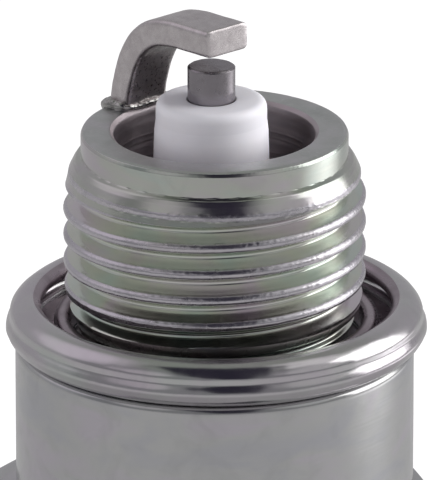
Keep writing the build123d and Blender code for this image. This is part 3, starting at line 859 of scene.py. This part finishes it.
# ------------------------------------------------------------------ weld flash around the foot
foot = U * (-5.92 + ST_T / 2) + Vector((0, 0, RIM))
wv, wf = [], []
NU, NV = 224, 24
for i in range(NU):
    a = 2 * math.pi * i / NU
    ca, sa = math.cos(a), math.sin(a)
    # superellipse path around the strap's foot
    p = 5.0
    den = (abs(ca / (ST_T / 2 + 0.06)) ** p + abs(sa / (ST_W / 2 + 0.06)) ** p) ** (1 / p)
    px, py = ca / den, sa / den
    gx = math.copysign(abs(px) ** (p - 1), px) / (ST_T / 2 + 0.06) ** p
    gy = math.copysign(abs(py) ** (p - 1), py) / (ST_W / 2 + 0.06) ** p
    gl = math.hypot(gx, gy)
    gx, gy = gx / gl, gy / gl
    side = max(0.0, -gy)                          # the side that faces away from +W
    inner = max(0.0, gx)
    outer = max(0.0, -gx)
    bulb = math.exp(-((px + 0.62) ** 2 + (py + 1.32) ** 2) / 0.14)
    bulb2 = 0.6 * math.exp(-((px + 0.62) ** 2 + (py - 1.25) ** 2) / 0.10)
    bulb3 = math.exp(-((px - 0.42) ** 2 + (py + 1.30) ** 2) / 0.07)
    rr = 0.17 + 0.05 * side - 0.06 * inner + 0.13 * bulb + 0.10 * bulb2 + 0.07 * bulb3
    rr += (0.10 * side + 0.03) * fbm(px * 1.0 + 3.1, py, 2.0, 1.9, 3)
    for j in range(NV):
        b = 2 * math.pi * j / NV
        off = rr * (1 + 0.2 * outer) * math.cos(b) + rr * 0.30
        h = rr * (0.95 + 0.25 * side) * math.sin(b) + 0.13 - 0.14 * bulb - 0.10 * bulb2
        q = 0.05 * fbm(px + off, py, h, 2.6, 3)
        P = foot + U * (px + gx * (off + q)) + W * (py + gy * (off + q))
        z = h + q
        rad = math.hypot(P.x, P.y)
        hang = 0.20 + 0.16 * bulb
        floor = 0.0 if 4.7 < rad < 5.95 else -hang * min(1.0, max(0.0, (rad - 5.95) / 0.2, (4.7 - rad) / 0.2))
        P.z = RIM + max(z, floor - 0.02)
        wv.append(tuple(P))
for i in range(NU):
    for j in range(NV):
        i2, j2 = (i + 1) % NU, (j + 1) % NV
        wf.append((i * NV + j, i2 * NV + j, i2 * NV + j2, i * NV + j2))
weld = make("weld_flash_detailed", wv, wf, 60)
finish_piece(weld, [M["weld"]], "weld_flash")

# ------------------------------------------------------------------ terminal stud with its M4 thread
SR, SROOT, SP = 1.97, 1.54, 0.70
srows = []
shr = 0.058
def sat(r):
    return shr + (r - SROOT) * math.tan(math.radians(30))
srows = [(0.0, SROOT), (0.05, SROOT + 0.01)] + [(sat(r), r) for r in (1.62, 1.75, 1.88)] + [(sat(1.95), 1.955), (sat(1.97) + 0.02, 1.97)]
srows = srows + [(SP - h, r) for h, r in reversed(srows[1:])]
NSG = 160
s_lo, s_hi = STUD_END + 0.02, STUD_FLANGE - 0.02
tv, tf, tidx = [], [], []
g0 = STUD_END + 0.12
for turn in range(-2, int((s_hi - s_lo) / SP) + 2):
    for h, r0 in srows:
        row = []
        for k in range(NSG):
            t = 2 * math.pi * k / NSG
            z = g0 + turn * SP + h + SP * t / (2 * math.pi)
            zc = min(max(z, s_lo), s_hi)
            env = min(1.22 + (zc - STUD_END + 0.10) * 1.0, SR)
            env = min(env, 1.52 + max(0.0, (STUD_FLANGE - 0.30 - zc)) * 1.0)
            r = min(r0, max(env, 1.2))
            row.append(len(tv))
            tv.append((r * math.cos(t), r * math.sin(t), zc))
        tidx.append(row)
PR = len(srows)
for i in range(len(tidx) - 1):
    a, b = tidx[i], tidx[i + 1]
    for k in range(NSG):
        if k < NSG - 1:
            tf.append((a[k], a[k + 1], b[k + 1], b[k]))
        else:
            ia, ib = min(i + PR, len(tidx) - 1), min(i + 1 + PR, len(tidx) - 1)
            tf.append((a[k], tidx[ia][0], tidx[ib][0], b[k]))


def srow(r, z):
    row = []
    for k in range(NSG):
        t = 2 * math.pi * k / NSG
        row.append(len(tv))
        tv.append((r * math.cos(t), r * math.sin(t), z))
    return row


cur = tidx[-1]
for r, z in rounded([(1.52, STUD_FLANGE - 0.02), (1.56, STUD_FLANGE, 0.02), (3.05, STUD_FLANGE, 0.10), (3.05, INS_END - 0.01, 0.10),
                     (1.85, INS_END - 0.01), (1.85, -20.70, 0.1), (1.35, -20.20, 0.1), (1.35, -17.20, 0.1), (1.15, -17.00, 0.1), (0.4, -17.0)], 4)[1:]:
    row = srow(r, z)
    for k in range(NSG):
        tf.append((cur[k], cur[(k + 1) % NSG], row[(k + 1) % NSG], row[k]))
    cur = row
c = len(tv)
tv.append((0, 0, -17.0))
for k in range(NSG):
    tf.append((cur[k], cur[(k + 1) % NSG], c))
cur = tidx[0]
row = srow(0.5, STUD_END + 0.005)
for k in range(NSG):
    tf.append((cur[k], cur[(k + 1) % NSG], row[(k + 1) % NSG], row[k]))
c = len(tv)
tv.append((0, 0, STUD_END))
for k in range(NSG):
    tf.append((row[k], row[(k + 1) % NSG], c))
stud = make("terminal_stud_detailed", tv, tf, 34, merge=0.0004)
finish_piece(stud, [M["terminal"]], "terminal_stud")

# ------------------------------------------------------------------ terminal nut
nut_prof = rounded([
    (0.0, NUT_END + 1.30), (1.98, NUT_END + 1.68, 0.03), (2.01, NUT_TOP - 0.24), (2.24, NUT_TOP - 0.01, 0.02), (3.175, NUT_TOP, 0.18),
    (3.175, NUT_TOP - 2.00, 0.15), (2.62, NUT_TOP - 2.55, 0.30), (2.62, NUT_TOP - 4.35, 0.30), (3.175, NUT_TOP - 4.90, 0.15),
    (3.175, NUT_END + 0.30, 0.3), (2.80, NUT_END, 0.35), (1.1, NUT_END, 0.05), (1.0, NUT_END + 0.12, 0.1), (0.0, NUT_END + 0.14)], 7)
nut = lathe("terminal_nut_detailed", nut_prof, 192, angle=36)
finish_piece(nut, [M["terminal"]], "terminal_nut", "nut")

# ------------------------------------------------------------------ floor
# low enough for a piece that slides down to its limit to stay above it
drop = max([0.0] + [j["range_m"][1] for j in frame["record"]["behaviour"]["joints"] if j["type"] == "slide" and j["axis"][2] < 0])
REST_Z = min(cad_box[0][2], cad_box[1][2]) - 0.0004
FLOOR_Z = REST_Z - drop
WIDER = FLOOR_Z / REST_Z
bm = bmesh.new()
bmesh.ops.create_grid(bm, x_segments=8, y_segments=8, size=3.0)
for v in bm.verts:
    v.co.z = FLOOR_Z
me = bpy.data.meshes.new("floor")
bm.to_mesh(me)
bm.free()
floor = bpy.data.objects.new("floor", me)
bpy.context.scene.collection.objects.link(floor)
fm = bpy.data.materials.new("m_floor")
fm.use_nodes = True
nt = fm.node_tree
nt.nodes.clear()
out = nt.nodes.new("ShaderNodeOutputMaterial")
dif = nt.nodes.new("ShaderNodeBsdfDiffuse")
dif.inputs[0].default_value = (0.16, 0.16, 0.16, 1)
em = nt.nodes.new("ShaderNodeEmission")
em.inputs[0].default_value = (1, 0.992, 1, 1)
lp = nt.nodes.new("ShaderNodeLightPath")
tc = nt.nodes.new("ShaderNodeTexCoord")
dist = nt.nodes.new("ShaderNodeVectorMath")
dist.operation = "LENGTH"
nt.links.new(tc.outputs["Object"], dist.inputs[0])
# the table is dimmer close to the part, where its own shade falls
shade = to_range(nt, dist.outputs["Value"], 0.14, 0.37, 0.030 * WIDER, 0.095 * WIDER)
# and bright where the soft box on the right spills on it
spot = nt.nodes.new("ShaderNodeMapping")
spot.vector_type = "TEXTURE"
spot.inputs["Location"].default_value = (0.150 * WIDER, 0.065 * WIDER, 0.0)
spot.inputs["Scale"].default_value = (WIDER, 2.0 * WIDER, 1.0)
nt.links.new(tc.outputs["Object"], spot.inputs["Vector"])
flat = nt.nodes.new("ShaderNodeVectorMath")
flat.operation = "MULTIPLY"
flat.inputs[1].default_value = (1.0, 1.0, 0.0)
nt.links.new(spot.outputs[0], flat.inputs[0])
near = nt.nodes.new("ShaderNodeVectorMath")
near.operation = "LENGTH"
nt.links.new(flat.outputs[0], near.inputs[0])
spill = to_range(nt, near.outputs["Value"], 1.8, 0.0, 0.0, 0.050)
strength = nt.nodes.new("ShaderNodeMix")
strength.data_type = "FLOAT"
nt.links.new(lp.outputs["Is Camera Ray"], strength.inputs[0])
nt.links.new(add(nt, shade, spill), strength.inputs[2])
strength.inputs[3].default_value = 0.98
nt.links.new(strength.outputs[0], em.inputs[1])
ad = nt.nodes.new("ShaderNodeAddShader")
nt.links.new(dif.outputs[0], ad.inputs[0])
nt.links.new(em.outputs[0], ad.inputs[1])
nt.links.new(ad.outputs[0], out.inputs[0])
me.materials.append(fm)

# ------------------------------------------------------------------ world and lights
scene = bpy.context.scene
world = bpy.data.worlds.new("studio")
scene.world = world
world.use_nodes = True
nt = world.node_tree
nt.nodes.clear()
out = nt.nodes.new("ShaderNodeOutputWorld")
tc = nt.nodes.new("ShaderNodeTexCoord")
direction = tc.outputs["Generated"]
sep = nt.nodes.new("ShaderNodeSeparateXYZ")
nt.links.new(direction, sep.inputs[0])
dx, dy, dz = sep.outputs


def step(sock, a, b):
    """Smooth step of a socket, 0 at a and 1 at b."""
    r = nt.nodes.new("ShaderNodeMapRange")
    r.interpolation_type = "SMOOTHSTEP"
    lo, hi = (a, b) if a < b else (b, a)
    r.inputs["From Min"].default_value = lo
    r.inputs["From Max"].default_value = hi
    r.inputs["To Min"].default_value = 0.0 if a < b else 1.0
    r.inputs["To Max"].default_value = 1.0 if a < b else 0.0
    nt.links.new(sock, r.inputs["Value"])
    return r.outputs[0]


def lobe(az, el, outer, inner):
    """A soft disc in the sky. Bearing from the viewer's side, 90 to the right; sizes in degrees."""
    a, b = math.radians(az), math.radians(el)
    v = nt.nodes.new("ShaderNodeVectorMath")
    v.operation = "DOT_PRODUCT"
    nt.links.new(direction, v.inputs[0])
    v.inputs[1].default_value = (math.sin(a) * math.cos(b), -math.cos(a) * math.cos(b), math.sin(b))
    return step(v.outputs["Value"], math.cos(math.radians(outer)), math.cos(math.radians(inner)))


def both(*socks):
    cur = socks[0]
    for s in socks[1:]:
        cur = add(nt, cur, s, "MULTIPLY")
    return cur


low, top = (0.40, 0.395, 0.41), (0.285, 0.30, 0.275)
sky = mix(nt, step(dz, 0.50, 0.88), low, top)
sky = mix(nt, both(step(dy, 0.05, -0.25), step(dz, 0.95, 0.75)), sky, (0.25, 0.25, 0.26))      # room in front
sky = mix(nt, lobe(-108, 42, 30, 13), sky, (0.66, 0.62, 0.67))                                # left fill
sky = mix(nt, lobe(-46, 34, 20, 9), sky, (0.50, 0.48, 0.50))
sky = mix(nt, lobe(60, 30, 24, 10), sky, (0.50, 0.50, 0.50))
sky = mix(nt, lobe(88, 58, 20, 8), sky, (0.74, 0.74, 0.73))
lean = add(nt, dx, add(nt, dz, 0.5, "MULTIPLY"))
dark = both(step(lean, 0.05, 0.17), step(dx, 0.46, 0.31), step(dy, 0.02, -0.14), step(dz, 0.10, 0.25))
sky = mix(nt, dark, sky, (0.028, 0.025, 0.040))                                               # dark card at the viewer
bg = nt.nodes.new("ShaderNodeBackground")
nt.links.new(sky, bg.inputs[0])
bg.inputs[1].default_value = 1.0
white = nt.nodes.new("ShaderNodeBackground")
white.inputs[0].default_value = (1, 1, 1, 1)
white.inputs[1].default_value = 1.05
lp = nt.nodes.new("ShaderNodeLightPath")
mx = nt.nodes.new("ShaderNodeMixShader")
nt.links.new(lp.outputs["Is Camera Ray"], mx.inputs[0])
nt.links.new(bg.outputs[0], mx.inputs[1])
nt.links.new(white.outputs[0], mx.inputs[2])
nt.links.new(mx.outputs[0], out.inputs[0])


def panel(name, loc, aim, w, h, radiance, color=(1, 1, 1)):
    """A soft box of w by h metres at loc, facing aim."""
    li = bpy.data.lights.new(name, "AREA")
    li.shape = "RECTANGLE"
    li.size, li.size_y = w, h
    li.energy = radiance * math.pi * w * h
    li.color = color
    ob = bpy.data.objects.new(name, li)
    scene.collection.objects.link(ob)
    ob.location = loc
    ob.rotation_euler = (Vector(aim) - Vector(loc)).to_track_quat("-Z", "Y").to_euler()
    return ob


# one soft box stands on the table at the right
panel("soft_right", (0.140, 0.030, 0.058), (0.0, 0.0, 0.012), 0.112, 0.140, 1.85, (1.0, 0.995, 0.985))
# two fills for the matt ceramic only: bright metal does not mirror them
for name, loc, size, radiance in (("fill_right", (0.33, 0.04, 0.10), 0.22, 6.6), ("fill_left", (-0.26, -0.22, 0.12), 0.22, 2.6)):
    fill = panel(name, loc, (0.0, 0.0, 0.008), size, size, radiance, (1.0, 0.99, 1.0))
    fill.visible_glossy = False

# ------------------------------------------------------------------ camera
cam_data = bpy.data.cameras.new("camera")
cam = bpy.data.objects.new("camera", cam_data)
scene.collection.objects.link(cam)
EL, DIST, PX = math.radians(19.6), 0.488, 21.88
target = Vector((0.11, 0.0, RIM - 5.333)) * MM
look = Vector((0, math.cos(EL), -math.sin(EL)))
cam.location = target - look * DIST
cam.rotation_euler = look.to_track_quat("-Z", "Y").to_euler()
cam_data.sensor_width = 36.0
cam_data.sensor_fit = "AUTO"
cam_data.lens = 36.0 * (PX * DIST / MM) / 480.0
cam_data.clip_start = 0.01
cam_data.clip_end = 20.0
scene.camera = cam
scene.view_settings.view_transform = "Standard"
